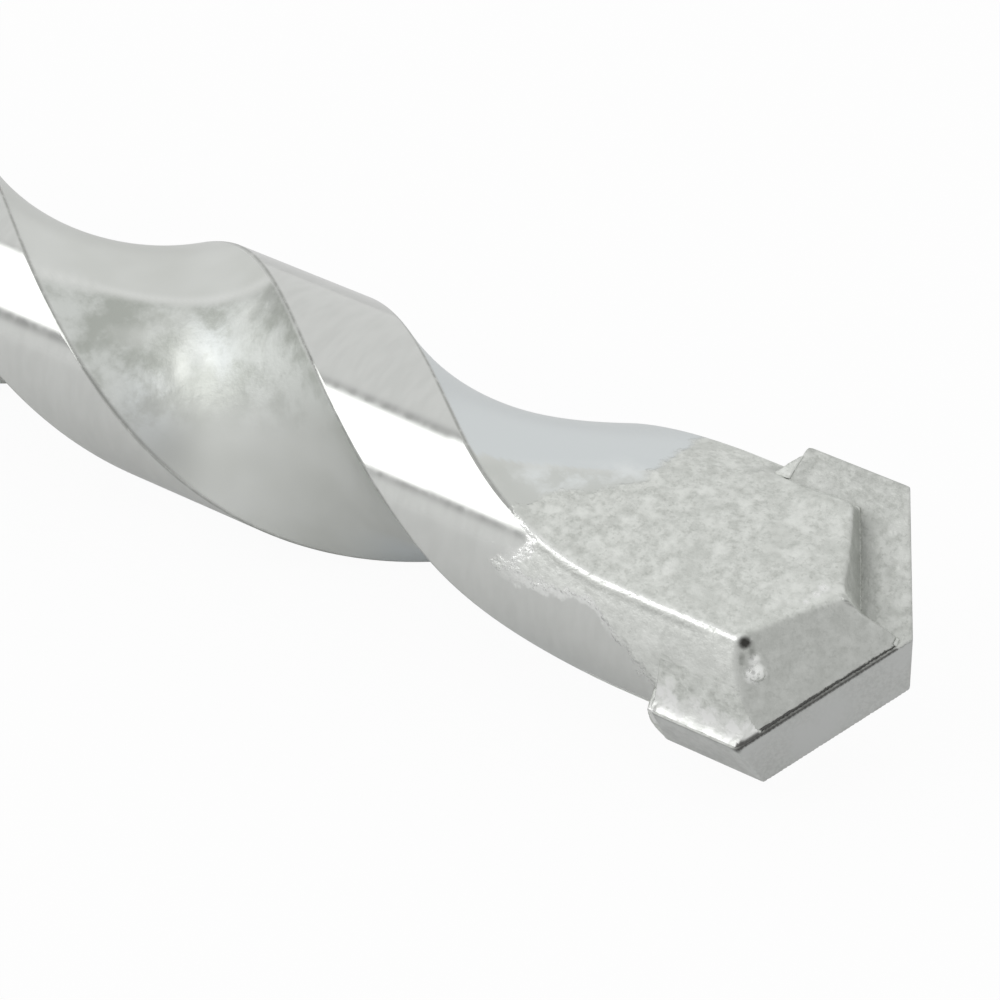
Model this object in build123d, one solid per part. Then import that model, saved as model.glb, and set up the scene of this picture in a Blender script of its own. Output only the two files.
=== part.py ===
# Masonry drill bit: a fluted steel body with a plain round shank, a carbide plate
# across its head and the braze that holds the plate. Millimetres.
# Each piece is drawn about the drill's own axis, with z = 0 at the seat of the plate,
# x along the plate's wide side and the point towards +z. It is then laid down along
# +X, so that it rests on the plane z = 0. Angles about the axis are counter-clockwise
# as seen from the point, which is also the way the drill turns.
import math
import os

from build123d import *

# Carbide plate
plate_width = 10.0
plate_thickness = 1.85
plate_side = 3.65
plate_corner_radius = 0.2
point_angle = 121.0
relief_angle = 15.0

# Steel body
overall_length = 120.0
working_length = 80.0
body_diameter = 8.4
head_diameter = 8.7
shank_diameter = 8.8
shank_chamfer = 0.6
shank_shoulder = 1.5

# Land between two flutes, measured about the axis from the plate's wide side
land_leading_edge = 4.0
land_trailing_edge = -53.0

# Curve of a flute across the axis: the slope at each of its two ends, against the
# plate's wide side, how far the curve holds to that slope, and the places along it
# that it passes through. The cutter reaches outside the steel to this many radii.
trail_slope = 10.0
trail_reach = 2.95
lead_slope = 44.0
lead_reach = 2.95
bow_places = (0.33, 0.67)
cutter_outside = 1.5

# Course of a flute along the axis: straight by the plate, then winding up to the
# full pitch, and rising out of the steel by the shank
flute_pitch = 35.0
straight_length = 2.0
wind_up_length = 7.0
run_out_length = 11.0
run_out_rise = 2.4

# Ground faces of the head, and how much of the plate they leave bare
steel_relief_angle = 38.0
steel_below_plate = 0.06
rake_exposed = 1.75
gash_angle = 8.5

# Braze in the slot and in the corners beside the plate, where a bead spreads along the
# steel this many times as far as it stands out
braze_gap = 0.1
braze_recess = 0.12
braze_bead = 0.4
braze_spread = 2.0

# How it lies: the plate's wide side is this far from level
rest_roll = 27.2

# Worked out from the sizes above
half_width = plate_width / 2
half_thickness = plate_thickness / 2
point_slope = 1 / math.tan(math.radians(point_angle / 2))
relief_slope = math.tan(math.radians(relief_angle))
edge_peak = plate_side + point_slope * half_width
point_height = edge_peak - relief_slope * half_thickness
body_radius = body_diameter / 2
head_radius = head_diameter / 2
shank_radius = shank_diameter / 2
shank_end = point_height - overall_length
flute_end = point_height - working_length
wound_up = -straight_length - wind_up_length
twist_rate = 360 / flute_pitch
flute_middle = (land_leading_edge + land_trailing_edge + 180) / 2
section_turn = 14.0
straight_sections = 4
clear = 4 * plate_width


def polar(radius, degrees):
    """A point at this angle about the axis."""
    angle = math.radians(degrees)
    return Vector(radius * math.cos(angle), radius * math.sin(angle))


def twist(z):
    """Degrees that the flutes have turned at z, against the straight head."""
    depth = -straight_length - z
    if depth <= 0:
        return 0.0
    if depth < wind_up_length:
        return -twist_rate * depth**2 / (2 * wind_up_length)
    return -twist_rate * (depth - wind_up_length / 2)


def blank_radius(z):
    """Radius of the turned blank at z."""
    grown = min(max((z - wound_up) / wind_up_length, 0.0), 1.0)
    return body_radius + (head_radius - body_radius) * grown


def flute_section(z):
    """What one flute removes at z: the area outside its curve."""
    radius = blank_radius(z)
    risen = max(flute_end + run_out_length - z, 0.0) / run_out_length
    lift = polar(run_out_rise * risen**2, flute_middle)
    start = polar(radius, 180 + land_trailing_edge) + lift
    end = polar(radius, land_leading_edge) + lift
    start_slope = polar(1, -trail_slope)
    end_slope = polar(1, 180 - lead_slope)
    start_outside = start - start_slope * radius * (cutter_outside - 1)
    end_outside = end - end_slope * radius * (cutter_outside - 1)
    far_outside = polar(radius * cutter_outside, flute_middle) + lift
    bow = Bezier(start, start + start_slope * trail_reach, end + end_slope * lead_reach, end)
    on_bow = [bow @ place for place in bow_places]
    curve = Spline(start_outside, start, *on_bow, end, end_outside)
    edge = [curve, ThreePointArc(end_outside, far_outside, start_outside)]
    return Pos(0, 0, z) * Rot(0, 0, twist(z)) * make_face(edge)


def flute_stations():
    """Places along the axis of the sections that shape a flute."""
    wound_length = -straight_length - flute_end
    turns = math.ceil(wound_length * twist_rate / section_turn)
    wound = [-straight_length - wound_length * i / turns for i in range(turns + 1)]
    head_length = point_height + straight_length
    step = head_length / straight_sections
    straight = [point_height - step * i for i in range(-1, straight_sections)]
    return straight + wound


def make_blank():
    """The turned blank, with a swelling at its head and a chamfered shank."""
    profile = Polyline(
        (0, 0, shank_end),
        (shank_radius - shank_chamfer, 0, shank_end),
        (shank_radius, 0, shank_end + shank_chamfer),
        (shank_radius, 0, flute_end - shank_shoulder),
        (body_radius, 0, flute_end),
        (body_radius, 0, wound_up),
        (head_radius, 0, -straight_length),
        (head_radius, 0, point_height),
        (0, 0, point_height),
        close=True,
    )
    return revolve(make_face(profile), Axis.Z)


def ground_away(lower=0.0):
    """What grinding takes off the head beside one face of the plate."""
    behind = Pos(clear / 2, -half_thickness - clear / 2) * Box(clear, clear, clear)
    ahead = Pos(-clear, 0) * behind
    steel_slope = math.tan(math.radians(steel_relief_angle))
    gash_slope = math.tan(math.radians(gash_angle))
    relief_edge = edge_peak - relief_slope * plate_thickness - steel_below_plate - lower
    relief = Plane(
        origin=(0, -half_thickness, relief_edge), z_dir=(point_slope, -steel_slope, 1)
    )
    gash_edge = edge_peak - rake_exposed - lower
    gash = Plane(origin=(0, -half_thickness, gash_edge), z_dir=(-point_slope, -gash_slope, 1))
    relief_side = split(behind, bisect_by=relief, keep=Keep.TOP)
    gash_side = split(ahead, bisect_by=gash, keep=Keep.TOP)
    return relief_side + gash_side


def both_sides(solid):
    """A solid and its copy on the other side of the axis."""
    return [solid, Rot(0, 0, 180) * solid]


def make_slot(gap):
    """Room for the plate, wider and deeper by a gap."""
    return Pos(0, 0, clear / 2 - gap) * Box(clear, plate_thickness + 2 * gap, clear)


def make_plate():
    """The carbide plate: a chevron with one cutting edge on each half."""
    plate = Pos(0, 0, edge_peak / 2) * Box(plate_width, plate_thickness, edge_peak)
    back_corners = plate.edges().filter_by(Axis.Y).group_by(Axis.Z)[0]
    plate = fillet(back_corners, plate_corner_radius)
    for side in (-1, 1):
        relief = Plane(
            origin=(0, side * half_thickness, edge_peak),
            z_dir=(side * point_slope, -side * relief_slope, 1),
        )
        plate = split(plate, bisect_by=relief, keep=Keep.BOTTOM)
    return plate


def make_braze(fluted):
    """The braze: a layer in the slot, and a bead in each corner outside it."""
    layer = (fluted & make_slot(braze_gap)) - make_slot(0)
    corner = math.sqrt(head_radius**2 - half_thickness**2)
    beside_outline = Polyline(
        (corner + braze_bead, -half_thickness),
        (corner - braze_bead, -half_thickness),
        (corner - braze_bead, -half_thickness - braze_spread * braze_bead),
        close=True,
    )
    beside = extrude(make_face(beside_outline), plate_side)
    inside = half_width - plate_thickness
    behind_outline = Polyline(
        (head_radius + braze_bead, 0, 0),
        (head_radius, 0, -braze_bead),
        (inside, 0, -braze_bead),
        (inside, 0, 0),
        close=True,
    )
    land_side = Pos(0, half_thickness, 0) * make_face(behind_outline)
    behind = extrude(land_side, plate_thickness + braze_bead, dir=(0, -1, 0))
    beads = (beside + behind) - fluted
    beads -= make_slot(0)
    braze = layer + both_sides(beads)
    return braze - both_sides(ground_away(braze_recess))


def lay_down(solid):
    """Turn the drill's own axis onto +X, resting on z = 0 and centred on x = 0."""
    roll = math.radians(rest_roll)
    lying = Plane(
        origin=(overall_length / 2 - point_height, 0, max(body_radius, shank_radius)),
        x_dir=(0, math.cos(roll), math.sin(roll)),
        z_dir=(1, 0, 0),
    )
    return lying.location * solid


flute = loft([flute_section(z) for z in flute_stations()])
fluted = make_blank() - both_sides(flute)
body = fluted - both_sides(ground_away()) - make_slot(braze_gap)

os.makedirs("parts", exist_ok=True)
export_step(lay_down(body), "parts/steel_body.step")
export_step(lay_down(make_plate()), "parts/carbide_plate.step")
export_step(lay_down(make_braze(fluted)), "parts/braze.step")
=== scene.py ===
import math

import bpy
import numpy as np
from mathutils import Matrix, Vector


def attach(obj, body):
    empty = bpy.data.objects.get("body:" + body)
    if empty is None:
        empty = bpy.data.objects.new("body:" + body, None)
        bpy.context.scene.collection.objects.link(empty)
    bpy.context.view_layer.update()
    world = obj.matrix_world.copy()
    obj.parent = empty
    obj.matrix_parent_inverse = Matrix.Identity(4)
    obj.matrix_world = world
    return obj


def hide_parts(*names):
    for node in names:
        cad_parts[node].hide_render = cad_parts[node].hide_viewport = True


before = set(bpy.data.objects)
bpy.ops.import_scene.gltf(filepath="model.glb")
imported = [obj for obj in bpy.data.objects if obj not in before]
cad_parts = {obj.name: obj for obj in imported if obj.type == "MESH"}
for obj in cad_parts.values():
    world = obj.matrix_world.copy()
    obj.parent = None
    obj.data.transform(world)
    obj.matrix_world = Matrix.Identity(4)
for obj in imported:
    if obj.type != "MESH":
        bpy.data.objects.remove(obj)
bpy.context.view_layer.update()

# Sizes in millimetres about the drill's own axis: z = 0 at the seat of the plate and
# towards the point, x along the plate's wide side. The same as in the solids.
PLATE_WIDTH = 10.0
PLATE_THICKNESS = 1.85
PLATE_SIDE = 3.65
PLATE_CORNER = 0.2
POINT_ANGLE = 121.0
RELIEF_ANGLE = 15.0
LENGTH = 120.0
WORKING_LENGTH = 80.0
BODY_RADIUS = 4.2
HEAD_RADIUS = 4.35
SHANK_RADIUS = 4.4
SHANK_CHAMFER = 0.6
SHANK_SHOULDER = 1.5
LAND_LEADING = 4.0
LAND_TRAILING = -53.0
TRAIL_SLOPE = 10.0
TRAIL_REACH = 2.95
LEAD_SLOPE = 44.0
LEAD_REACH = 2.95
PITCH = 35.0
STRAIGHT = 2.0
WIND_UP = 7.0
RUN_OUT = 11.0
RUN_OUT_RISE = 2.4
STEEL_RELIEF = 38.0
STEEL_BELOW_PLATE = 0.06
RAKE_EXPOSED = 1.75
GASH_ANGLE = 8.5
BRAZE_GAP = 0.1
REST_ROLL = 27.2

HALF = PLATE_THICKNESS / 2
POINT_SLOPE = 1 / math.tan(math.radians(POINT_ANGLE / 2))
RELIEF_SLOPE = math.tan(math.radians(RELIEF_ANGLE))
STEEL_SLOPE = math.tan(math.radians(STEEL_RELIEF))
GASH_SLOPE = math.tan(math.radians(GASH_ANGLE))
EDGE_PEAK = PLATE_SIDE + POINT_SLOPE * PLATE_WIDTH / 2
POINT_HEIGHT = EDGE_PEAK - RELIEF_SLOPE * HALF
SHANK_END = POINT_HEIGHT - LENGTH
FLUTE_END = POINT_HEIGHT - WORKING_LENGTH
WOUND_UP = -STRAIGHT - WIND_UP
FLUTE_MIDDLE = (LAND_LEADING + LAND_TRAILING + 180) / 2

# Where the fine head ends and the wound part begins
HEAD_FOOT = -4.0

# Rounding of the land edges on the bar and on the head, and the length between the two
BAR_EDGE = 0.05
HEAD_EDGE = 0.1
EDGE_GROWTH = 4.0

# A flute's rise is followed to this share of its run-out, where it is clear of the steel
MOST_RISEN = 1.6

# The step between gash and relief face: where it crosses the plate's face, how it leans
# with the distance from it, and its edges
STEP_PLACE = 0.3
STEP_LEAN = 0.15
STEP_FILLET = 0.4
STEP_EDGE = 0.08

# Rounding of the ground edges, less by this much in a band at the head's rim
TOP_EDGE = 0.18
RIM_LOSS = 0.1
RIM_BAND = 0.5
SLOT_EDGE = 0.08

# The seam beside the relief faces: its width in the middle, how it widens outwards, and
# its waves as height and rate
SEAM_GAP = 0.035
SEAM_WIDENING = 0.011
SEAM_WAVES = ((0.008, 9.0), (0.006, 17.0))

# Steel left beside the plate's rake faces: a rib that widens upwards from its foot
RIB_FOOT = -0.6
RIB_HEIGHT = 2.4
RIB_WIDTHS = (0.13, 0.88)
RIB_HALF_LENGTH = 3.5
RIB_EDGE = 0.35
RIB_FILLET = 0.5

# The burr below the end of the visible land, as lumps with their radii
BURRS = (
    ((-3.01, 2.39, 2.94), 0.27),
    ((-2.75, 2.71, 2.87), 0.12),
    ((-2.99, 2.31, 3.13), 0.14),
)
BURR_FILLET = 0.12

# Painted on the steel: painted shade for the dark chip at the end of the land's edge, the two
# fine cracks beside it, and painted highlights as bright flecks, with their radii, by the step
# to the relief face
CHIP_SHADE = (-2.58, 3.30, 2.62)
CHIP_SHADE_SIZE = 0.11
CRACKS = (
    ((-2.49, 3.17, 2.77), (-2.78, 2.81, 2.89)),
    ((-2.91, 3.03, 2.64), (-3.04, 2.88, 2.69)),
)
CRACK_SIZE = 0.08
PAINTED_GLINTS = (
    ((0.15, 2.83, 3.71), 0.14),
    ((-0.15, 2.92, 3.66), 0.11),
    ((-0.55, 3.03, 3.53), 0.08),
)

# The plate's own ground edges, and how near its flat faces their finish begins
PLATE_EDGE = 0.05
AT_FACE = 0.03

# The layer of braze round the plate: how far it reaches into the steel beside a relief
# face and into the plate, how far it stays below the ground faces there and elsewhere,
# and how deep it is followed below them
LAYER_IN_STEEL = 0.05
LAYER_IN_PLATE = 0.02
LAYER_RECESSES = (0.03, 0.02)
LAYER_DEPTH = 0.8

# The beads of braze: how far they reach into what they cling to, the fillet between the
# two of one corner, how near the axis they come, and their waves as height and rates
# along z and x
BEAD_SUNK = 0.06
BEAD_FILLET = 0.12
BEAD_START = 3.0
BEAD_WAVES = ((0.05, 3.1, 1.3), (0.03, 7.0, -2.0))
BRAZE_EDGE = 0.04
# The bead beside the plate: how far it reaches from the steel and from the plate, each
# with its share of the waves, and its outer end
BESIDE_REACHES = ((0.68, 0.3), (1.45, 2.0))
BESIDE_END = 4.94
BESIDE_CORNER = 0.3
# The bead under the plate's end: its depth by the relief side, what it gains across to
# the rake side, and how steeply it ends, at the far end of the plate and at the near one
UNDER_DEPTH = 0.25
UNDER_GAINS = (0.27, 0.53)
UNDER_SLOPES = (1.35, 0.96)
UNDER_END = 4.95
# Half of the grid that the braze is meshed on, and its lowest place
BRAZE_REACH = (5.04, 3.0)
BRAZE_FOOT = -1.0

# Steps of the grids that the fields are meshed on, and the fewest faces that are kept
STEEL_MESH = 0.07
PLATE_MESH = 0.07
BRAZE_MESH = 0.06
LEAST_FACES = 1000

ROLL = math.radians(REST_ROLL)
LYING = Matrix((
    (0, 0, 1, LENGTH / 2 - POINT_HEIGHT),
    (math.cos(ROLL), -math.sin(ROLL), 0, 0),
    (math.sin(ROLL), math.cos(ROLL), 0, max(BODY_RADIUS, SHANK_RADIUS)),
    (0, 0, 0, 1),
))
# From millimetres about the axis to metres in the frame
PLACE = Matrix.Scale(0.001, 4) @ LYING


def ramp(value, start, over):
    """0 at the start and 1 from there on by this much, which may be negative."""
    return np.clip((value - start) / over, 0.0, 1.0)


def near(away, reach, peak=1.0):
    """The peak on the spot, less by one for each reach away from it, held to 0 and 1."""
    return np.clip(peak - away / reach, 0.0, 1.0)


def distance(x, y, z, spot):
    return np.sqrt(sum((p - q)**2 for p, q in zip((x, y, z), spot)))


# The steel as a field: distances in millimetres, negative inside
def twist(z):
    depth = np.maximum(-STRAIGHT - z, 0.0)
    rate = math.radians(360 / PITCH)
    wound = np.where(depth < WIND_UP, depth**2 / (2 * WIND_UP), depth - WIND_UP / 2)
    return -rate * wound


def blank_radius(z):
    grown = ramp(z, WOUND_UP, WIND_UP)
    radius = BODY_RADIUS + (HEAD_RADIUS - BODY_RADIUS) * grown
    shoulder = ramp(z, FLUTE_END, -SHANK_SHOULDER)
    return radius + (SHANK_RADIUS - BODY_RADIUS) * shoulder


def unit(degrees):
    return np.array([math.cos(math.radians(degrees)), math.sin(math.radians(degrees))])


# How the nearest place on a flute's wall is found: by first guesses along it, then by
# rounds of Newton's method, where a rate below this share of the speed's square isn't
# trusted
GUESSES = 9
NEWTON_ROUNDS = 5
LEAST_RATE = 0.3


def flute_field(x, y, z):
    """Distance past the wall of the flute on the +y side, to its nearest place."""
    risen = np.maximum(FLUTE_END + RUN_OUT - z, 0.0) / RUN_OUT
    risen = np.minimum(risen, MOST_RISEN)
    middle = unit(FLUTE_MIDDLE)
    px = x - RUN_OUT_RISE * risen**2 * middle[0]
    py = y - RUN_OUT_RISE * risen**2 * middle[1]
    radius = np.minimum(blank_radius(z), HEAD_RADIUS)
    radius = np.where(z < WOUND_UP, BODY_RADIUS, radius)
    start = unit(180 + LAND_TRAILING)
    end = unit(LAND_LEADING)
    out = TRAIL_REACH * unit(-TRAIL_SLOPE)
    back = LEAD_REACH * unit(180 - LEAD_SLOPE)
    ax, ay = radius * start[0], radius * start[1]
    dx, dy = radius * end[0], radius * end[1]
    bx, by = ax + out[0], ay + out[1]
    cx, cy = dx + back[0], dy + back[1]

    def place(t):
        u = 1 - t
        w = (u**3, 3 * u * u * t, 3 * u * t * t, t**3)
        return (w[0] * ax + w[1] * bx + w[2] * cx + w[3] * dx,
                w[0] * ay + w[1] * by + w[2] * cy + w[3] * dy)

    def speed(t):
        u = 1 - t
        w = (3 * u * u, 6 * u * t, 3 * t * t)
        return (w[0] * (bx - ax) + w[1] * (cx - bx) + w[2] * (dx - cx),
                w[0] * (by - ay) + w[1] * (cy - by) + w[2] * (dy - cy))

    def bend(t):
        u = 1 - t
        return (6 * u * (cx - 2 * bx + ax) + 6 * t * (dx - 2 * cx + bx),
                6 * u * (cy - 2 * by + ay) + 6 * t * (dy - 2 * cy + by))

    best = np.full(np.shape(px + radius), np.inf)
    t = np.zeros_like(best)
    for guess in np.linspace(0.0, 1.0, GUESSES):
        qx, qy = place(guess)
        away = (px - qx)**2 + (py - qy)**2
        nearer = away < best
        best = np.where(nearer, away, best)
        t = np.where(nearer, guess, t)
    for _ in range(NEWTON_ROUNDS):
        qx, qy = place(t)
        vx, vy = speed(t)
        kx, ky = bend(t)
        gap = (qx - px) * vx + (qy - py) * vy
        square = vx * vx + vy * vy
        rate = square + (qx - px) * kx + (qy - py) * ky
        rate = np.where(rate > LEAST_RATE * square, rate, square)
        t = np.clip(t - gap / rate, 0.0, 1.0)
    qx, qy = place(t)
    vx, vy = speed(t)
    return ((px - qx) * -vy + (py - qy) * vx) / np.hypot(vx, vy)


def both(a, b, radius):
    """Inside of both fields, with the edge where they meet rounded over."""
    inner = np.minimum(np.maximum(a, b), -radius)
    return inner + np.hypot(np.maximum(a + radius, 0.0), np.maximum(b + radius, 0.0))


def either(a, b, radius):
    """Inside of either field, with a fillet where they meet."""
    outer = np.maximum(np.minimum(a, b), radius)
    return outer - np.hypot(np.maximum(radius - a, 0.0), np.maximum(radius - b, 0.0))


def section_field(x, y, z):
    """Negative inside the fluted bar."""
    turn = -twist(z)
    c, s = np.cos(turn), np.sin(turn)
    lx, ly = c * x - s * y, s * x + c * y
    round_bar = np.hypot(x, y) - blank_radius(z)
    rounding = BAR_EDGE + (HEAD_EDGE - BAR_EDGE) * ramp(z, WOUND_UP, EDGE_GROWTH)
    one_cut = both(round_bar, flute_field(lx, ly, z), rounding)
    return both(one_cut, flute_field(-lx, -ly, z), rounding)


def top_field(x, y, z):
    """Negative below the ground faces of the head."""
    side = np.where(y > 0, -1.0, 1.0)
    sx, sy = side * x, side * y + HALF
    step = sx + STEP_PLACE + STEP_LEAN * sy
    relief_edge = EDGE_PEAK - RELIEF_SLOPE * PLATE_THICKNESS - STEEL_BELOW_PLATE
    gash_edge = EDGE_PEAK - RAKE_EXPOSED
    relief = z - relief_edge + POINT_SLOPE * np.maximum(sx, 0.0) - STEEL_SLOPE * sy
    relief /= math.sqrt(1 + POINT_SLOPE**2 + STEEL_SLOPE**2)
    gash = z - gash_edge - POINT_SLOPE * np.minimum(sx, 0.0) - GASH_SLOPE * sy
    gash /= math.sqrt(1 + POINT_SLOPE**2 + GASH_SLOPE**2)
    return both(np.minimum(relief, step), either(gash, -step, STEP_FILLET), STEP_EDGE)


def slot_field(x, y, z):
    """Negative inside the slot for the plate, with an uneven mouth beside the relief."""
    torn = SEAM_GAP + SEAM_WIDENING * np.abs(x)
    for height, rate in SEAM_WAVES:
        torn = torn + height * np.sin(rate * x)
    gap = np.where(x * y < 0, torn, BRAZE_GAP)
    return np.maximum(np.abs(y) - HALF - gap, -z - BRAZE_GAP)


def head_section(x, y, z, section):
    """The fluted bar with the steel that backs the plate beside its rake faces."""
    narrow, wide = RIB_WIDTHS
    backing = narrow + (wide - narrow) * ramp(z, RIB_FOOT, RIB_HEIGHT)
    rib = both(np.abs(y) - HALF - backing, np.abs(x) - RIB_HALF_LENGTH, RIB_EDGE)
    return either(section, np.maximum(rib, RIB_FOOT - z), RIB_FILLET)


def head_field(x, y, z, section=None):
    """Negative inside the steel of the head."""
    if section is None:
        section = section_field(x, y, z)
    section = head_section(x, y, z, section)
    at_rim = near(HEAD_RADIUS - np.hypot(x, y), RIM_BAND)
    steel = both(section, top_field(x, y, z), TOP_EDGE - RIM_LOSS * at_rim)
    steel = both(steel, -slot_field(x, y, z), SLOT_EDGE)
    for spot, size in BURRS:
        steel = either(steel, distance(x, y, z, spot) - size, BURR_FILLET)
    return steel


# From field to mesh
def gradient(field, points, step=0.02):
    out = np.empty_like(points)
    for axis in range(3):
        ahead = points.copy()
        ahead[:, axis] += step
        behind = points.copy()
        behind[:, axis] -= step
        out[:, axis] = (field(*ahead.T) - field(*behind.T)) / (2 * step)
    return out


LEAST_SLOPE = 0.05


def settle(field, points, furthest, rounds=3):
    """Move points onto the field's surface, where its slope isn't near nothing."""
    start = points.copy()
    for _ in range(rounds):
        slope = gradient(field, points)
        size = np.maximum((slope**2).sum(1), LEAST_SLOPE)
        points = points - slope * (field(*points.T) / size)[:, None]
        moved = np.clip(points - start, -furthest, furthest)
        points = start + moved
    return points


def surface(field, low, high, step):
    """Quads over the surface of a field inside a box."""
    counts = [int(math.ceil((h - l) / step)) + 1 for l, h in zip(low, high)]
    axes = [l + step * np.arange(n) for l, n in zip(low, counts)]
    values = np.empty(counts)
    xx, yy = np.meshgrid(axes[0], axes[1], indexing="ij")
    straight = section_field(xx, yy, np.zeros_like(xx))
    for k, z in enumerate(axes[2]):
        zz = np.full_like(xx, z)
        section = straight if z > -STRAIGHT else section_field(xx, yy, zz)
        values[:, :, k] = field(xx, yy, zz, section)
    inside = values < 0
    corners = [(i, j, k) for i in (0, 1) for j in (0, 1) for k in (0, 1)]
    nx, ny, nz = (n - 1 for n in counts)
    held = sum(inside[i:i + nx, j:j + ny, k:k + nz].astype(np.int8) for i, j, k in corners)
    cells = np.argwhere((held > 0) & (held < 8))
    index = np.full((nx, ny, nz), -1)
    index[tuple(cells.T)] = np.arange(len(cells))
    total = np.zeros((len(cells), 3))
    number = np.zeros(len(cells))
    for axis in range(3):
        others = [a for a in range(3) if a != axis]
        for p in (0, 1):
            for q in (0, 1):
                at = np.zeros(3, int)
                at[others[0]], at[others[1]] = p, q
                to = at.copy()
                to[axis] = 1
                a = values[tuple((cells + at).T)]
                b = values[tuple((cells + to).T)]
                cross = (a < 0) != (b < 0)
                share = np.where(cross, a / np.where(cross, a - b, 1.0), 0.0)
                spot = at + np.zeros((len(cells), 3))
                spot[:, axis] = share
                total += spot * cross[:, None]
                number += cross
    points = np.array(low) + step * (cells + total / number[:, None])
    quads = []
    for axis in range(3):
        b, c = (axis + 1) % 3, (axis + 2) % 3
        lower = [slice(None)] * 3
        upper = [slice(None)] * 3
        lower[axis], upper[axis] = slice(0, -1), slice(1, None)
        change = inside[tuple(lower)] != inside[tuple(upper)]
        edges = np.argwhere(change)
        keep = (edges[:, b] > 0) & (edges[:, c] > 0)
        keep &= (edges[:, b] < counts[b] - 1) & (edges[:, c] < counts[c] - 1)
        edges = edges[keep]
        eb, ec = np.zeros(3, int), np.zeros(3, int)
        eb[b], ec[c] = 1, 1
        ring = [edges - eb - ec, edges - ec, edges, edges - eb]
        quad = np.stack([index[tuple(r.T)] for r in ring], axis=1)
        outward = inside[tuple(edges.T)]
        quad[~outward] = quad[~outward][:, ::-1]
        quads.append(quad)
    return points, np.concatenate(quads)


def main_parts(points, faces, least):
    """Leave out loose crumbs of fewer than this many faces."""
    label = np.arange(len(points))
    while True:
        lowest = label.copy()
        np.minimum.at(lowest, faces.ravel(), np.repeat(label[faces].min(axis=1), 4))
        lowest = lowest[lowest]
        if (lowest == label).all():
            break
        label = lowest
    part = label[faces[:, 0]]
    names, counts = np.unique(part, return_counts=True)
    faces = faces[np.isin(part, names[counts >= least])]
    used, faces = np.unique(faces, return_inverse=True)
    return points[used], faces.reshape(-1, 4)


def make_piece(name, points, faces, normals, node, masks):
    """A mesh piece of points in millimetres about the axis."""
    mesh = bpy.data.meshes.new(name)
    place = np.array(PLACE)
    world = points @ place[:3, :3].T + place[:3, 3]
    mesh.from_pydata(world.tolist(), [], [list(map(int, f)) for f in faces])
    for key, mask in masks.items():
        layer = mesh.attributes.new(key, "FLOAT", "POINT")
        layer.data.foreach_set("value", mask.astype(np.float32))
    mesh.polygons.foreach_set("use_smooth", [True] * len(mesh.polygons))
    turned = normals @ np.array(LYING)[:3, :3].T
    turned /= np.linalg.norm(turned, axis=1)[:, None]
    mesh.normals_split_custom_set_from_vertices(turned.tolist())
    mesh.update()
    piece = bpy.data.objects.new(name, mesh)
    bpy.context.scene.collection.objects.link(piece)
    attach(piece, "root")
    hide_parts(node)
    return piece


HALF_PITCH = PITCH / 2
# Painted highlights in the flutes as pale spots: place along the axis and length, degrees and
# width in degrees
PAINTED_HIGHLIGHTS = (((-20.4, 1.0), (116, 14)), ((-19.0, 1.2), (51, 15)))


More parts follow.
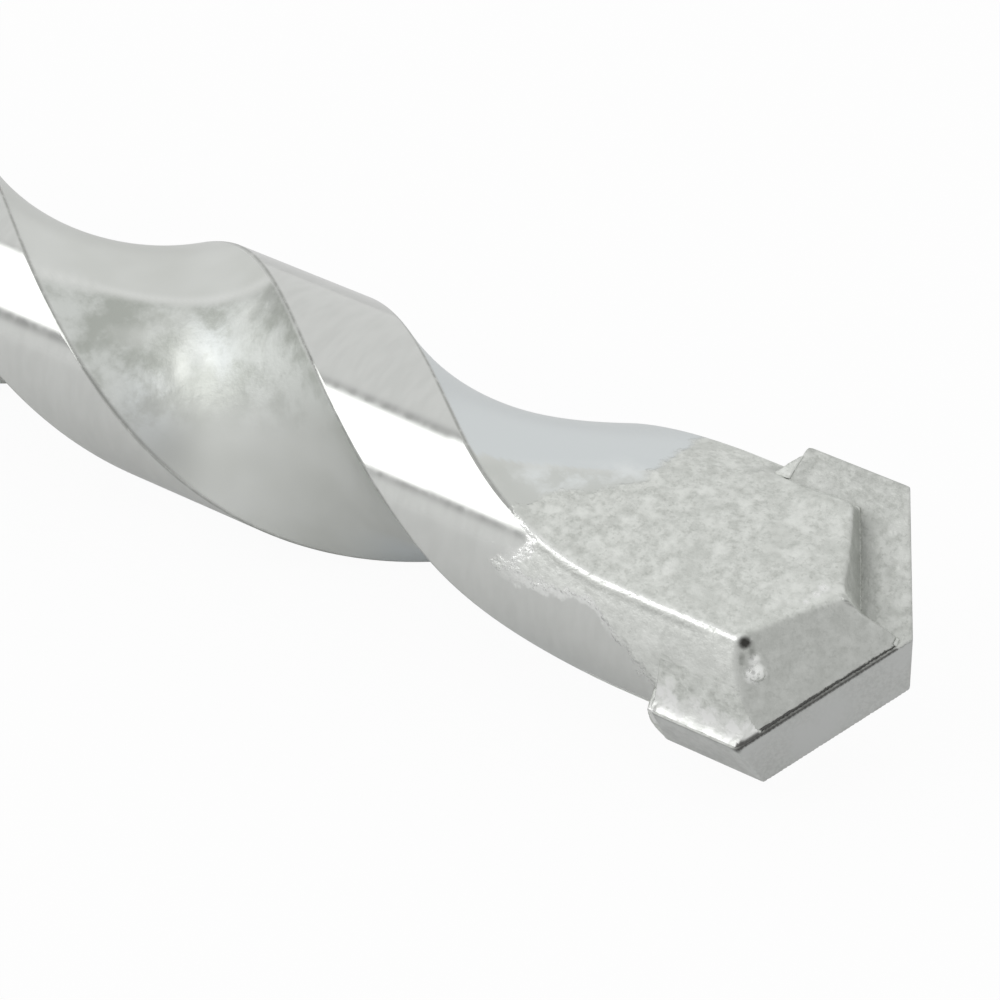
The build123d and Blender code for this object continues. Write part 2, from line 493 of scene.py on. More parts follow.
def finish_and_light_masks(points):
    """Where each finish of the steel lies, and where highlights and shade are painted on it, as
    numbers on the mesh's points.
    """
    x, y, z = points.T
    out = np.hypot(x, y) - blank_radius(z)
    turn = np.degrees(np.arctan2(y, x) - twist(z)) % 180
    # the head was blasted from one side: ahead of this line across the flute, and on
    # the land as far as a line that runs beside its trailing edge
    start = -3.5 - 0.045 * np.maximum(turn - 62, 0.0)
    in_flute = z - start
    reach = 139.5 + 4.6 * np.maximum(-3.3 - z, 0.0) + 8.0 * np.clip(z + 2.6, 0.0, 2.0)
    reach = reach + 22.0 * np.maximum(z + 0.6, 0.0)
    front = 0.4 * (z + 5.4 + 0.035 * (turn - 127))
    inner = (reach - turn) * (0.075 - 0.045 * ramp(z, -1.8, 1.0))
    on_land = np.where(turn > 120, np.minimum(inner, front), z + 3.0)
    land = near(-out, 0.12)
    blast = in_flute * (1 - land) + on_land * land
    # a rough band crosses the flutes once in each half turn, with a pale line before it that is
    # painted as a highlight
    late = (z + 18.0 + 0.06 * turn) % HALF_PITCH
    rise = ramp(late, 0.0, 0.4)
    fall = ramp(late, 6.0, -3.0)
    line = near(np.abs((late + 1.0) % HALF_PITCH - 0.9), 0.3)
    cool = ramp(late, 10.5, 2.0) * ramp(z, -14.0, 2.0)
    # the blasted finish has a pale border in the flutes, and pale spots are painted there as
    # highlights
    by_head = ramp(z, -9.5, 1.5)
    pale = near(np.abs(in_flute + 0.6), 0.8, 1.25) * by_head * (1 - land)
    pale = pale * ramp(turn, 48, 12) * ramp(turn, 122, -12)
    for (middle, length), (across, width) in PAINTED_HIGHLIGHTS:
        spot = np.exp(-((z - middle) / length)**2 - ((turn - across) / width)**2)
        pale = np.maximum(pale, 0.8 * spot)
    # both edges of a land: a painted highlight on the head and painted shade behind it
    degree = math.radians(1) * BODY_RADIUS
    lead = np.abs((turn - LAND_LEADING + 90) % 180 - 90) * degree
    past = ((turn - 180 - LAND_TRAILING + 90) % 180 - 90) * degree
    fluted = ramp(z - FLUTE_END, RUN_OUT, 4.0)
    head_part = ramp(z, -6.4, 1.5)
    painted_highlight = near(np.abs(past), 0.13) * (out > -0.3) * head_part
    edge_shade = near(np.minimum(lead, np.abs(past)), 0.1) * (out > -0.25)
    edge_shade = edge_shade * (1 - head_part) * fluted
    # a line of painted shade under the highlight, on the land
    under = near(np.abs(past - 0.24), 0.14) * land
    under = under * head_part * ramp(z, 1.6, -1.0)
    # painted shade in the flute by its leading edge, where the rough band rises
    shaded = near(lead, 1.3) * (1 - land) * rise
    shaded = shaded * ramp(late, 3.2, -2.0)
    flaky = land * ramp(z, -1.4, -1.0) * ramp(z, -6.2, 1.0)
    return {
        "land": land, "blast": blast, "mottle": rise * fall * fluted * (1 - 0.7 * by_head),
        "line": line * (1 - land) * fluted * (1 - by_head), "cool": cool, "pale": pale,
        "painted_highlight": painted_highlight, "flaky": flaky, "relief": np.zeros_like(z), "pit_shade": np.zeros_like(z),
        "dark": np.maximum.reduce([edge_shade, 0.7 * shaded, 0.6 * under]),
    }


def segment_distance(points, start, end):
    along = ramp((points - start) @ (end - start), 0.0, np.sum((end - start)**2))
    return np.linalg.norm(points - start - along[:, None] * (end - start), axis=1)


# Below the bar's first ring the head's foot draws in by this share, is closed at this
# depth, and has the normals of its end from this one. The grid for the head reaches
# this far from the axis.
FOOT_DRAW = 0.05
FOOT_DEPTH = 0.2
FOOT_FACE = 0.15
HEAD_REACH = 4.5


def make_head():
    def dipping(x, y, z, section=None):
        steel = head_field(x, y, z, section) + FOOT_DRAW * np.maximum(HEAD_FOOT - z, 0.0)
        return np.maximum(steel, HEAD_FOOT - FOOT_DEPTH - z)

    low = (-HEAD_REACH, -HEAD_REACH, HEAD_FOOT - 2 * FOOT_DEPTH)
    high = (HEAD_REACH, HEAD_REACH, POINT_HEIGHT + 0.1)
    points, faces = surface(dipping, low, high, STEEL_MESH)
    points = settle(dipping, points, STEEL_MESH)
    normals = gradient(head_field, points)
    foot = points[:, 2] < HEAD_FOOT - FOOT_FACE
    normals[foot] = gradient(dipping, points[foot])
    masks = finish_and_light_masks(points)

    def paint(key, value):
        masks[key] = np.maximum(masks[key], value)

    x, y, z = points.T
    side = np.where(y > 0, -1.0, 1.0)
    ground = near(-top_field(x, y, z), 0.1)
    # painted shade on the head's relief faces
    paint("relief", ground * ramp(side * x, -STEP_PLACE, 0.1))
    # the gash lies in a soft shade
    paint("dark", 0.5 * ground * ramp(side * x, -0.4, -0.3))
    # a painted highlight on the burr and just round it
    for spot, size in BURRS:
        paint("painted_highlight", near(distance(x, y, z, spot) - size, BURR_FILLET))
    # painted shade: a near-black spot where the chip lies, with no highlight on it
    masks["pit_shade"] = near(distance(x, y, z, CHIP_SHADE), CHIP_SHADE_SIZE, 2.2)
    masks["painted_highlight"] = masks["painted_highlight"] * (1 - masks["pit_shade"])
    for start, end in CRACKS:
        crack = segment_distance(points, np.array(start), np.array(end))
        paint("dark", near(crack, CRACK_SIZE, 1.6))
    # painted highlights: bright flecks by the step to the relief face
    for spot, size in PAINTED_GLINTS:
        paint("painted_highlight", near(distance(x, y, z, spot), size, 1.6))
    return make_piece("steel_head", points, faces, normals, "steel_body", masks)


# Rings of the bar: how many from the head's foot to this place, from there to the shank
# and along the shank
FINE_END = -24.0
FINE_RINGS = 90
COARSE_RINGS = 150
SHANK_RINGS = 24
# Points of a ring across a land and across a flute, beside the close ones at each edge
LAND_POINTS = 16
FLUTE_POINTS = 60
CLOSE_BY = [0, 0.4, 0.8, 1.2, 1.6, 2.0, 2.5, 3.2, 4.5]
CLOSE_END = 7
# A flute's middle and half its span where it is full, half the turn from one flute to
# the other, and the span left to a flute that has run out
MIDDLE = math.radians(FLUTE_MIDDLE)
HALF_SPAN = MIDDLE - math.radians(LAND_LEADING)
QUARTER = math.pi / 2
LEAST_SPAN = 0.02
# Where the surface is looked for: from this radius to a little outside the blank
INNERMOST = 0.8
OUTSIDE = 0.2
HALVINGS = 16
# Rounding of the shank's chamfer, and the radii of the rings on its flat end
CHAMFER_EDGE = 0.15
END_RINGS = (3.2, 2.4, 1.6, 0.8)


def across(span, count):
    """Places across a span of degrees, close together at its two edges."""
    middle = np.linspace(CLOSE_END, span - CLOSE_END, count)
    return np.concatenate([CLOSE_BY, middle, [span - s for s in CLOSE_BY[::-1]]])


def ring_angles():
    """Angles of a ring's points, against the flutes where they are full."""
    land_span = LAND_LEADING - LAND_TRAILING
    half = np.concatenate([
        LAND_TRAILING + across(land_span, LAND_POINTS)[:-1],
        LAND_LEADING + across(180 - land_span, FLUTE_POINTS)[:-1],
    ])
    return np.radians(np.concatenate([half, half + 180]))


def flute_spans(z, radius):
    """How far a flute reaches to each side of its middle at z."""
    probe = np.linspace(0.0, HALF_SPAN * 1.2, 200)
    spans = []
    for sign in (-1, 1):
        a = MIDDLE + sign * probe
        cut = flute_field(radius * np.cos(a), radius * np.sin(a), np.full_like(a, z)) > 0
        spans.append(probe[cut].max() if cut.any() else LEAST_SPAN)
    return spans


def warp(away, span):
    """Angles from a flute's middle, moved so that its edge comes to this span."""
    inside = away * span / HALF_SPAN
    outside = span + (away - HALF_SPAN) * (QUARTER - span) / (QUARTER - HALF_SPAN)
    return np.where(away < HALF_SPAN, inside, outside)


def make_ring(z, angles):
    """Points on the fluted bar's surface at z."""
    radius = float(blank_radius(np.array(z)))
    low_span, high_span = flute_spans(z, radius)
    offset = (angles - MIDDLE + QUARTER) % math.pi - QUARTER
    moved = np.where(offset < 0, -warp(-offset, low_span), warp(offset, high_span))
    turned = angles + (moved - offset) + twist(np.array(z))
    level = np.full_like(turned, z)
    lower, upper = np.full_like(turned, INNERMOST), np.full_like(turned, radius + OUTSIDE)
    for _ in range(HALVINGS):
        half = (lower + upper) / 2
        out = section_field(half * np.cos(turned), half * np.sin(turned), level) > 0
        upper = np.where(out, half, upper)
        lower = np.where(out, lower, half)
    r = (lower + upper) / 2
    return np.stack([r * np.cos(turned), r * np.sin(turned), level], axis=1)


def shank_profile(start):
    """The plain shank from here back: radius, z and normal of each ring."""
    corner = SHANK_END + SHANK_CHAMFER
    profile = [(SHANK_RADIUS, z, 1.0, 0.0)
               for z in np.linspace(start, corner + CHAMFER_EDGE, SHANK_RINGS)[1:]]
    for turn in np.linspace(0, 45, 5)[1:]:
        share = turn / 45
        radius = SHANK_RADIUS - CHAMFER_EDGE * 0.7 * share**2
        z = corner + CHAMFER_EDGE * (1 - share) - 0.02
        t = math.radians(turn)
        profile.append((radius, z, math.cos(t), -math.sin(t)))
    end_radius = SHANK_RADIUS - SHANK_CHAMFER
    edge = CHAMFER_EDGE * 0.6
    for turn in np.linspace(45, 90, 5):
        share = (turn - 45) / 45
        radius = end_radius + edge * (1 - share) - edge * share
        t = math.radians(turn)
        profile.append((radius, SHANK_END + edge * (1 - share)**2, math.cos(t), -math.sin(t)))
    return profile + [(radius, SHANK_END, 0.0, -1.0) for radius in END_RINGS]


def make_wound():
    """Rings that follow the land edges, from the head back to the shank's end."""
    angles = ring_angles()
    count = len(angles)
    fine = np.linspace(HEAD_FOOT, FINE_END, FINE_RINGS)
    coarse = np.linspace(FINE_END, FLUTE_END - 2 * SHANK_SHOULDER, COARSE_RINGS)[1:]
    rings = [make_ring(z, angles) for z in np.concatenate([fine, coarse])]
    normals = [gradient(section_field, np.concatenate(rings))]
    # the plain shank, in rings of the same count
    last = rings[-1]
    a = np.arctan2(last[:, 1], last[:, 0])
    radial = np.stack([np.cos(a), np.sin(a)], axis=1)
    for r, z, nr, nz in shank_profile(last[0, 2]):
        rings.append(np.concatenate([radial * r, np.full((count, 1), z)], axis=1))
        normals.append(np.concatenate([radial * nr, np.full((count, 1), nz)], axis=1))
    points = np.concatenate(rings)
    faces = []
    for k in range(len(rings) - 1):
        one, two = k * count, (k + 1) * count
        for i in range(count):
            j = (i + 1) % count
            faces.append((one + i, two + i, two + j, one + j))
    faces.append(tuple((len(rings) - 1) * count + i for i in range(count))[::-1])
    faces.append(tuple(range(count)))
    masks = finish_and_light_masks(points)
    return make_piece("steel_bar", points, faces, np.concatenate(normals),
                      "steel_body", masks)


def plate_field(x, y, z, section=None):
    """Negative inside the carbide plate, with fine rounded edges."""
    size = math.sqrt(1 + POINT_SLOPE**2 + RELIEF_SLOPE**2)
    one = (POINT_SLOPE * x - RELIEF_SLOPE * (y - HALF) + z - EDGE_PEAK) / size
    two = (-POINT_SLOPE * x + RELIEF_SLOPE * (y + HALF) + z - EDGE_PEAK) / size
    outline = both(np.abs(x) - PLATE_WIDTH / 2, -z, PLATE_CORNER)
    outline = both(outline, both(one, two, PLATE_EDGE), PLATE_EDGE)
    return both(outline, np.abs(y) - HALF, PLATE_EDGE)


def make_plate():
    step = PLATE_MESH
    half = PLATE_WIDTH / 2
    low = (-half - step, -HALF - step, -step)
    high = (half + step, HALF + step, EDGE_PEAK)
    points, faces = surface(plate_field, low, high, step)
    points = settle(plate_field, points, step)
    normals = gradient(plate_field, points)
    x, y, z = points.T
    wide = (np.abs(y) > HALF - AT_FACE) * 1.0
    end = (np.abs(x) > half - AT_FACE) * 1.0
    # dark residue and painted shade low on the bare rake faces, by the corner with the steel
    above = z - EDGE_PEAK + RAKE_EXPOSED + POINT_SLOPE * np.abs(x)
    grime_and_shade = near(above, 0.55, 1.1) * wide * (x * y > 0)
    grime_and_shade = grime_and_shade * ramp(np.abs(x), 3.9, -0.6)
    # the dark line of the seam runs on along the rim that stands out of the steel
    below = PLATE_SIDE + POINT_SLOPE * (half - np.abs(x)) - RELIEF_SLOPE * PLATE_THICKNESS - z
    seam = near(below, 0.055 + 0.008 * np.abs(x), 1.8)
    seam = seam * (np.abs(y) > HALF - 0.04) * (x * y < 0)
    corner = distance(x, y, z, (-half, HALF, 3.12))
    seam = np.maximum(seam, 0.7 * near(corner, 0.14, 1.5))
    return make_piece("carbide_tip", points, faces, normals, "carbide_plate",
                      {"wide": wide, "end": end, "grime_and_shade": grime_and_shade, "seam": seam})


def fillet(a, b, reach_a, reach_b):
    """The corner between two surfaces, filled hollow, and a little inside each."""
    one = np.maximum(1 - a / reach_a, 0.0)
    two = np.maximum(1 - b / reach_b, 0.0)
    hollow = (1 - np.hypot(one, two)) * np.minimum(reach_a, reach_b)
    return np.maximum.reduce([hollow, -a - BEAD_SUNK, -b - BEAD_SUNK,
                              a - reach_a, b - reach_b])


def layer_field(x, y, z, section):
    """Negative inside the layer of braze round the plate."""
    top = top_field(x, y, z)
    relief = x * y < 0
    plate = np.maximum(np.abs(y) - HALF, -z)
    slot = slot_field(x, y, z) - np.where(relief, LAYER_IN_STEEL, 0.0)
    layer = np.maximum(slot, -plate - LAYER_IN_PLATE)
    recessed = top + np.where(relief, *LAYER_RECESSES)
    layer = np.maximum(layer, both(section - 0.01, recessed, BRAZE_EDGE))
    return np.maximum(layer, -LAYER_DEPTH - top)


def bead_field(x, y, z, section):
    """Negative inside the beads: one beside the plate's rake face, one under its end."""
    side = np.where(x > 0, 1.0, -1.0)
    wave = sum(height * np.sin(p * z + q * x) for height, p, q in BEAD_WAVES)
    reaches = [size + share * wave for size, share in BESIDE_REACHES]
    beside = fillet(section, -side * y - HALF, *reaches)
    beside = np.maximum(beside, both(np.abs(x) - BESIDE_END, 0.01 - z, BESIDE_CORNER))
    beside = both(beside, top_field(x, y, z) + 0.01, BRAZE_EDGE)
    gained = np.where(x > 0, *UNDER_GAINS) * np.clip(0.5 + 0.5 * side * y / HALF, 0.0, 1.0)
    depth = UNDER_DEPTH + gained + 0.5 * wave
    slope = np.where(x > 0, *UNDER_SLOPES)
    under = (slope * depth * np.maximum(section, 0.0) - z - depth) / 1.2
    # it follows the rounded back corner of the plate
    bend = np.clip(np.abs(x) - PLATE_WIDTH / 2 + PLATE_CORNER, 0.0, PLATE_CORNER)
    seat = PLATE_CORNER - np.sqrt(PLATE_CORNER**2 - bend**2)
    under = np.maximum.reduce([under, z - seat - BEAD_SUNK, np.abs(y) - HALF - 0.02,
                               np.abs(x) - UNDER_END, -section - BEAD_SUNK])
    return np.maximum(either(beside, under, BEAD_FILLET), BEAD_START - np.abs(x))


def braze_field(x, y, z, section=None):
    """Braze: a layer round the plate, and a bead in each outer corner."""
    if section is None:
        section = section_field(x, y, z)
    section = head_section(x, y, z, section)
    return np.minimum(layer_field(x, y, z, section), bead_field(x, y, z, section))


def make_braze():
    along, aside = BRAZE_REACH
    low = (-along, -aside, BRAZE_FOOT)
    high = (along, aside, EDGE_PEAK)
    points, faces = surface(braze_field, low, high, BRAZE_MESH)
    points, faces = main_parts(points, faces, LEAST_FACES)
    points = settle(braze_field, points, BRAZE_MESH / 2, rounds=2)
    normals = gradient(braze_field, points, 0.03)
    x, y, z = points.T
    section = section_field(x, y, z)
    rim = np.abs(y) - HALF
    bead = (section > -0.05) & (x * y < 0) & (z > -0.12)
    # a painted highlight on the bead: pale by the plate, fading away from it
    painted_highlight = near(rim, 0.6, 1.3) * bead
    seam = (rim < 0.25) & (x * y < 0) & (section < -0.1)
    mouth = near(rim, 0.07, 1.8) * (top_field(x, y, z) > -0.1) * bead
    return make_piece("braze_seam", points, faces, normals, "braze",
                      {"painted_highlight": painted_highlight, "dark": np.maximum(seam * 1.0, mouth)})


head = make_head()
bar = make_wound()
plate = make_plate()
braze = make_braze()


# Materials: noise by features per metre, detail and roughness, heights in millimetres
GRAIN = (2700, 4.0, 0.66)
BUMP_DISTANCE = 0.001


def add(tree, kind, **values):
    node = tree.nodes.new(kind)
    for key, value in values.items():
        setattr(node, key, value)
    return node


def noise(tree, coordinates, scale, detail=3.0, rough=0.5, stretch=None):
    """Noise with about this many features per metre."""
    node = add(tree, "ShaderNodeTexNoise")
    node.inputs["Scale"].default_value = scale
    node.inputs["Detail"].default_value = detail
    node.inputs["Roughness"].default_value = rough
    if stretch:
        mapping = add(tree, "ShaderNodeMapping")
        mapping.inputs["Scale"].default_value = stretch
        tree.links.new(coordinates, mapping.inputs["Vector"])
        coordinates = mapping.outputs["Vector"]
    tree.links.new(coordinates, node.inputs["Vector"])
    return node.outputs["Fac"]


def spread(tree, value, low, high, to_low=0.0, to_high=1.0):
    """A smooth step from one range to another."""
    node = add(tree, "ShaderNodeMapRange", interpolation_type="SMOOTHSTEP")
    node.inputs["From Min"].default_value = low
    node.inputs["From Max"].default_value = high
    node.inputs["To Min"].default_value = to_low
    node.inputs["To Max"].default_value = to_high
    tree.links.new(value, node.inputs["Value"])
    return node.outputs["Result"]


def feed(tree, socket, value):
    """Give a socket a number, a colour or another node's output."""
    if isinstance(value, tuple):
        socket.default_value = value + (1.0,)
    elif isinstance(value, (int, float)):
        socket.default_value = value
    else:
        tree.links.new(value, socket)


def math_node(tree, operation, a, b):
    node = add(tree, "ShaderNodeMath", operation=operation)
    feed(tree, node.inputs[0], a)
    feed(tree, node.inputs[1], b)
    return node.outputs[0]


def plus(tree, a, b):
    return math_node(tree, "ADD", a, b)


def minus(tree, a, b):
    return math_node(tree, "SUBTRACT", a, b)


def times(tree, a, b):
    return math_node(tree, "MULTIPLY", a, b)


def mix(tree, factor, a, b, data, kind):
    node = add(tree, "ShaderNodeMix", data_type=data)
    tree.links.new(factor, node.inputs["Factor"])
    for key, value in (("A", a), ("B", b)):
        socket = [s for s in node.inputs if s.name == key and s.type == kind][0]
        feed(tree, socket, value)
    return [s for s in node.outputs if s.type == kind][0]


def mix_colour(tree, factor, a, b):
    return mix(tree, factor, a, b, "RGBA", "RGBA")


def mix_value(tree, factor, a, b):
    return mix(tree, factor, a, b, "FLOAT", "VALUE")


def mask(tree, name):
    return add(tree, "ShaderNodeAttribute", attribute_name=name).outputs["Fac"]


def metal(name):
    """A metal: its material, tree and shader, the place on it and its blasted grain."""
    material = bpy.data.materials.new(name)
    material.use_nodes = True
    tree = material.node_tree
    shader = tree.nodes["Principled BSDF"]
    shader.inputs["Metallic"].default_value = 1.0
    place = add(tree, "ShaderNodeTexCoord").outputs["Object"]
    return material, tree, shader, place, noise(tree, place, *GRAIN)


def dress(tree, shader, tone, rough, height):
    bump = add(tree, "ShaderNodeBump")
    bump.inputs["Distance"].default_value = BUMP_DISTANCE
    tree.links.new(height, bump.inputs["Height"])
    tree.links.new(tone, shader.inputs["Base Color"])
    tree.links.new(rough, shader.inputs["Roughness"])
    tree.links.new(bump.outputs["Normal"], shader.inputs["Normal"])


def blasted_tone(tree, place, grain, level):
    """The mottled grey of the sand-blasted finish."""
    speckle = noise(tree, place, 6500, 3.0, 0.6)
    blotch = noise(tree, place, 1500, 2.0, 0.5)
    patch = noise(tree, place, 700, 2.0, 0.5)

    def grey(value):
        return (value * level, (value + 0.015) * level, (value - 0.015) * level)

    tone = mix_colour(tree, spread(tree, grain, 0.30, 0.68), grey(0.555), grey(0.70))
    tone = mix_colour(tree, spread(tree, speckle, 0.50, 0.68, 0.0, 0.38), tone, grey(0.40))
    tone = mix_colour(tree, spread(tree, blotch, 0.50, 0.72, 0.0, 0.75), tone, grey(0.77))
    return mix_colour(tree, spread(tree, patch, 0.52, 0.72, 0.0, 0.5), tone, grey(0.56))



def steel_material():
    material, tree, shader, place, grain = metal("steel")
    land = mask(tree, "land")
    cloud = noise(tree, place, 330, 2.0)
    mottle = noise(tree, place, 640, 5.0, 0.62)
    fine = noise(tree, place, 7000, 2.0, 0.6)
    ground = noise(tree, place, 1500, 2.0, 0.5, stretch=(2.0, 0.6, 0.6))

    # the blasted finish starts raggedly, with a bright rim of flakes that is partly painted
    # highlight
    ragged = plus(tree, mask(tree, "blast"), times(tree, minus(tree, mottle, 0.5), 1.6))
    ragged = plus(tree, ragged, times(tree, minus(tree, grain, 0.5), 0.5))
    blasted = spread(tree, ragged, -0.1, 0.25)
    rim = times(tree, spread(tree, ragged, -0.2, 0.0), spread(tree, ragged, 0.3, 0.1))
    rim = times(tree, rim, mask(tree, "flaky"))
    rough_band = times(tree, mask(tree, "mottle"), spread(tree, cloud, 0.2, 0.42))

    smooth_tone = mix_colour(tree, spread(tree, cloud, 0.3, 0.7),
                             (0.64, 0.655, 0.625), (0.70, 0.715, 0.69))
    smooth_tone = mix_colour(tree, mask(tree, "cool"), smooth_tone, (0.69, 0.725, 0.73))
    rough_tone = mix_colour(tree, spread(tree, mottle, 0.36, 0.64),
                            (0.46, 0.48, 0.445), (0.70, 0.72, 0.695))
    flute_tone = mix_colour(tree, rough_band, smooth_tone, rough_tone)
    # the pale border of the blasted finish, and the pale spots that are painted highlights
    pale = times(tree, mask(tree, "pale"), spread(tree, mottle, 0.38, 0.56, 0.2, 1.0))
    flute_tone = mix_colour(tree, pale, flute_tone, (0.78, 0.81, 0.805))
    land_tone = mix_colour(tree, spread(tree, ground, 0.3, 0.7),
                           (0.64, 0.65, 0.63), (0.67, 0.68, 0.66))
    bar_tone = mix_colour(tree, land, flute_tone, land_tone)
    grain_tone = blasted_tone(tree, place, grain, 1.1)
    # painted shade: the relief faces are given a darker tone
    grain_tone = mix_colour(tree, times(tree, mask(tree, "relief"), 0.5),
                            grain_tone, (0.44, 0.45, 0.43))
    grain_tone = mix_colour(tree, times(tree, land, 0.35), grain_tone, (0.86, 0.87, 0.845))
    tone = mix_colour(tree, blasted, bar_tone, grain_tone)
    # painted shade by the land edges, in the gash and in the flutes, with the fine cracks
    # darkened too
    shade = times(tree, mask(tree, "dark"), spread(tree, grain, 0.3, 0.55, 0.35, 0.85))
    tone = mix_colour(tree, shade, tone, (0.30, 0.31, 0.29))
    # painted highlights: glints on the land's edge, the burr and the flecks, with the rim of
    # flakes and the pale line before the rough band, made smoother too
    glint = times(tree, mask(tree, "painted_highlight"), spread(tree, fine, 0.32, 0.5))
    painted_highlight = math_node(tree, "MAXIMUM", glint, rim)
    painted_highlight = math_node(tree, "MAXIMUM", painted_highlight, times(tree, mask(tree, "line"), 0.4))
    tone = mix_colour(tree, painted_highlight, tone, (0.86, 0.87, 0.85))
    # the chip's painted shade, near black
    tone = mix_colour(tree, mask(tree, "pit_shade"), tone, (0.06, 0.06, 0.055))

    flute_rough = mix_value(tree, rough_band, 0.32, spread(tree, mottle, 0.3, 0.7, 0.46, 0.60))
    rough = mix_value(tree, land, flute_rough, spread(tree, ground, 0.3, 0.7, 0.13, 0.17))
    rough = mix_value(tree, blasted, rough, 0.5)
    rough = mix_value(tree, painted_highlight, rough, 0.22)

    rough_height = plus(tree, times(tree, mottle, 0.07), times(tree, grain, 0.012))
    height = mix_value(tree, land, times(tree, rough_band, rough_height),
                       times(tree, ground, 0.0002))
    blast_height = plus(tree, times(tree, grain, 0.055), times(tree, fine, 0.016))
    height = mix_value(tree, blasted, height, blast_height)
    # glints keep to the mean height of the blasted finish, with no grain of their own
    height = mix_value(tree, glint, height, 0.0355)
    dress(tree, shader, tone, rough, height)
    return material


def carbide_material():
    material, tree, shader, place, grain = metal("carbide")
    wide_face = mask(tree, "wide")
    fine = noise(tree, place, 8000, 3.0, 0.6)
    cloud = noise(tree, place, 420, 2.0)
    blasted = blasted_tone(tree, place, grain, 0.93)
    ground = mix_colour(tree, spread(tree, fine, 0.35, 0.65),
                        (0.50, 0.51, 0.495), (0.57, 0.58, 0.565))
    ground = mix_colour(tree, spread(tree, cloud, 0.35, 0.7), ground, (0.57, 0.58, 0.57))
    # the end faces have a lighter, worn tone
    patchy = mix_colour(tree, spread(tree, grain, 0.3, 0.7),
                      (0.58, 0.59, 0.575), (0.70, 0.71, 0.695))
    ground = mix_colour(tree, mask(tree, "end"), ground, patchy)
    tone = mix_colour(tree, wide_face, ground, blasted)
    # residue and painted shade low on the rake faces
    grime_and_shade = times(tree, mask(tree, "grime_and_shade"), spread(tree, grain, 0.3, 0.6, 0.15, 0.7))
    tone = mix_colour(tree, grime_and_shade, tone, (0.34, 0.35, 0.33))
    tone = mix_colour(tree, mask(tree, "seam"), tone, (0.11, 0.11, 0.105))
    rough = mix_value(tree, wide_face, 0.36, 0.5)
    height = mix_value(tree, wide_face, times(tree, fine, 0.003), times(tree, grain, 0.05))
    dress(tree, shader, tone, rough, height)
    return material


def braze_material():
    material, tree, shader, place, grain = metal("braze")
    flow = noise(tree, place, 900, 2.0)
    patch = noise(tree, place, 1500, 2.0)
    uneven = plus(tree, times(tree, patch, 1.6), grain)
    # the bead's painted highlight, ragged and in patches, near white and smoother
    ragged = plus(tree, mask(tree, "painted_highlight"), minus(tree, uneven, 1.3))
    patchy = spread(tree, noise(tree, place, 2300, 3.0, 0.6), 0.44, 0.56, 0.45, 1.0)
    painted_highlight = times(tree, spread(tree, ragged, 0.2, 0.75), patchy)
    tone = mix_colour(tree, painted_highlight, blasted_tone(tree, place, grain, 1.1), (0.88, 0.885, 0.87))
    tone = mix_colour(tree, mask(tree, "dark"), tone, (0.13, 0.13, 0.125))
    rough = mix_value(tree, painted_highlight, 0.5, 0.38)
    height = mix_value(tree, painted_highlight, times(tree, grain, 0.055), times(tree, flow, 0.055))
    dress(tree, shader, tone, rough, height)
    return material


steel = steel_material()
head.data.materials.append(steel)
bar.data.materials.append(steel)
plate.data.materials.append(carbide_material())
braze.data.materials.append(braze_material())


# Camera: a pinhole fitted to the plate's corners and the land edges in the photograph
AZIMUTH = math.radians(34.59)
ELEVATION = math.radians(37.7)
SENSOR_WIDTH = 36.0
FOCAL_LENGTH = 143.2
# Metres from the camera to the plate's seat
SEAT_RIGHT = 0.0072513
SEAT_UP = -0.0027946
SEAT_AHEAD = 0.1224776

right = Vector((math.cos(AZIMUTH), math.sin(AZIMUTH), 0))
forward = Vector((-math.sin(AZIMUTH) * math.cos(ELEVATION),
                  math.cos(AZIMUTH) * math.cos(ELEVATION), -math.sin(ELEVATION)))
up = right.cross(forward)
seat = PLACE @ Vector((0, 0, 0))
spot = seat - SEAT_RIGHT * right - SEAT_UP * up - SEAT_AHEAD * forward
camera_data = bpy.data.cameras.new("camera")
camera_data.sensor_width = SENSOR_WIDTH
camera_data.lens = FOCAL_LENGTH
camera_data.clip_start = 0.01
camera = bpy.data.objects.new("camera", camera_data)
camera.matrix_world = Matrix((
    (right.x, up.x, -forward.x, spot.x),
    (right.y, up.y, -forward.y, spot.y),
    (right.z, up.z, -forward.z, spot.z),
    (0, 0, 0, 1),
))
bpy.context.scene.collection.objects.link(camera)
bpy.context.scene.camera = camera


# Floor and light
FLOOR_HALF = 3
FLOOR_DROP = 0.00002
PAPER = (0.8, 0.8, 0.8, 1)
# How white the paper looks to the camera, and how much of that the steel mirrors
WHITE_SEEN = 0.95
WHITE_MIRRORED = 0.1
# Azimuth and elevation in degrees of the key light and of the room's dark side, each
# with the angles round it that its darkness ends and starts at
KEY = (-131, 37)
KEY_CONE = (30, 24)
DARK_SIDE = (-62, 35)
DARK_CONE = (38, 12)
# The room's light: in general, on its dark side, round the key light, to the camera
ROOM = 0.86
ROOM_DARK = 0.5
ROOM_BY_KEY = 0.4
ROOM_SEEN = 1.0
# The key light: metres away from its target and wide, and its power in watts
KEY_TARGET = Vector((0.04, 0, 0.004))
KEY_AWAY = 0.6
KEY_SIZE = 0.42
KEY_POWER = 0.95


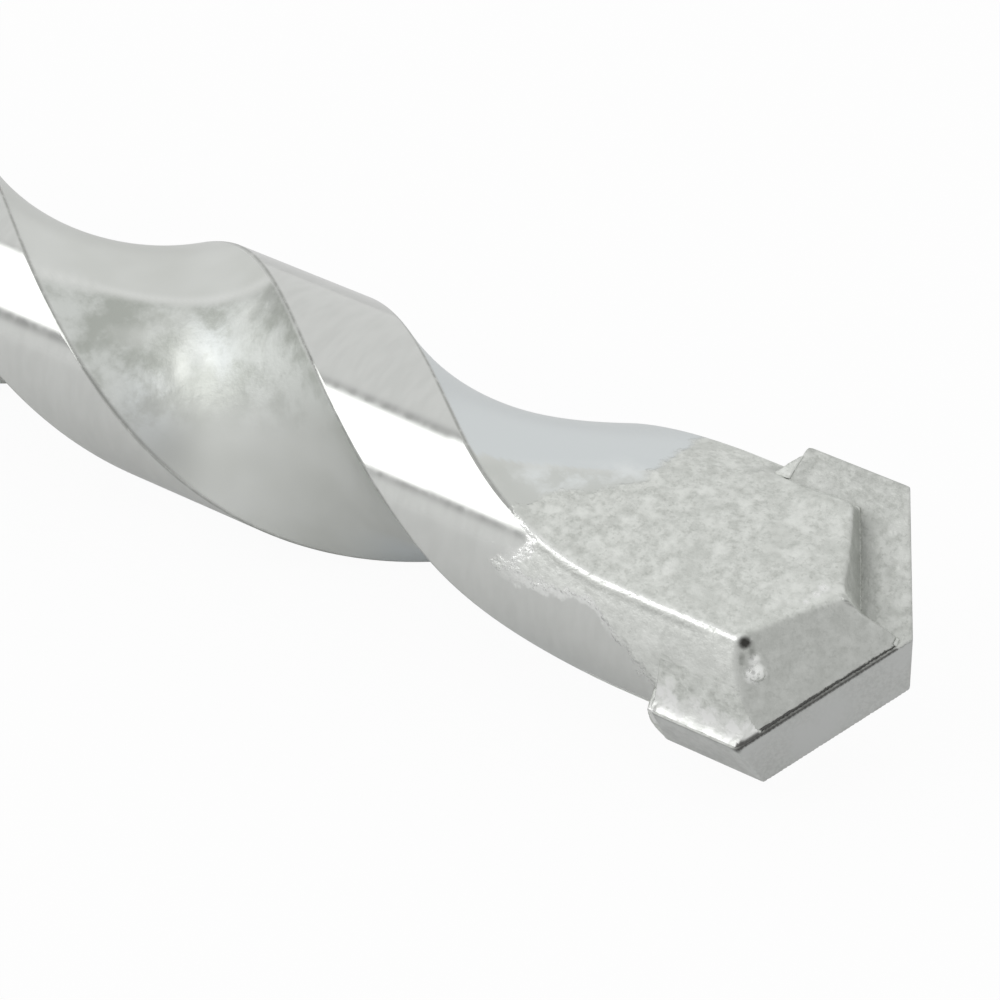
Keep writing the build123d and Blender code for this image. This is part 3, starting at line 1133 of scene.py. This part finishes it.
def white_where_seen(tree, lit):
    """A shader that camera and mirror rays see as near white, shadows kept."""
    path = add(tree, "ShaderNodeLightPath")
    glow = add(tree, "ShaderNodeEmission")
    glow.inputs["Strength"].default_value = 1.0
    seen = times(tree, path.outputs["Is Camera Ray"], WHITE_SEEN)
    mirrored = times(tree, path.outputs["Is Glossy Ray"], WHITE_MIRRORED)
    through = times(tree, path.outputs["Is Transmission Ray"], WHITE_MIRRORED)
    share = math_node(tree, "MAXIMUM", seen, math_node(tree, "MAXIMUM", mirrored, through))
    blend = add(tree, "ShaderNodeMixShader")
    tree.links.new(share, blend.inputs[0])
    tree.links.new(lit, blend.inputs[1])
    tree.links.new(glow.outputs[0], blend.inputs[2])
    return blend.outputs[0]


floor_data = bpy.data.meshes.new("floor")
corners = [(x * FLOOR_HALF, y * FLOOR_HALF, 0) for x, y in ((-1, -1), (1, -1), (1, 1), (-1, 1))]
floor_data.from_pydata(corners, [], [(0, 1, 2, 3)])
floor = bpy.data.objects.new("floor", floor_data)
floor.location.z = -FLOOR_DROP
bpy.context.scene.collection.objects.link(floor)
paper = bpy.data.materials.new("paper")
paper.use_nodes = True
tree = paper.node_tree
for node in list(tree.nodes):
    if node.type != "OUTPUT_MATERIAL":
        tree.nodes.remove(node)
matt = add(tree, "ShaderNodeBsdfDiffuse")
matt.inputs["Color"].default_value = PAPER
output = [n for n in tree.nodes if n.type == "OUTPUT_MATERIAL"][0]
tree.links.new(white_where_seen(tree, matt.outputs[0]), output.inputs["Surface"])
floor_data.materials.append(paper)

world = bpy.data.worlds.new("room")
bpy.context.scene.world = world
world.use_nodes = True
tree = world.node_tree
background = tree.nodes["Background"]
background.inputs["Color"].default_value = (1, 1, 1, 1)
direction = add(tree, "ShaderNodeTexCoord").outputs["Generated"]


def towards(azimuth, elevation):
    a, e = math.radians(azimuth), math.radians(elevation)
    return Vector((math.cos(e) * math.cos(a), math.cos(e) * math.sin(a), math.sin(e)))


def cone(tree, aim, angles):
    """0 outside the first angle round a direction, and 1 within the second."""
    dot = add(tree, "ShaderNodeVectorMath", operation="DOT_PRODUCT")
    tree.links.new(direction, dot.inputs[0])
    dot.inputs[1].default_value = towards(*aim)
    outer, inner = (math.cos(math.radians(angle)) for angle in angles)
    return spread(tree, dot.outputs["Value"], outer, inner)


path = add(tree, "ShaderNodeLightPath")
room = mix_value(tree, cone(tree, DARK_SIDE, DARK_CONE), ROOM, ROOM_DARK)
room = mix_value(tree, cone(tree, KEY, KEY_CONE), room, ROOM_BY_KEY)
strength = mix_value(tree, path.outputs["Is Camera Ray"], room, ROOM_SEEN)
tree.links.new(strength, background.inputs["Strength"])

key = bpy.data.lights.new("key", "AREA")
key.shape = "RECTANGLE"
key.size = KEY_SIZE
key.size_y = KEY_SIZE
key.energy = KEY_POWER
lamp = bpy.data.objects.new("key", key)
aim = towards(*KEY)
lamp.location = KEY_TARGET + aim * KEY_AWAY
lamp.rotation_euler = aim.to_track_quat("Z", "Y").to_euler()
bpy.context.scene.collection.objects.link(lamp)

bpy.context.scene.view_settings.view_transform = "Standard"
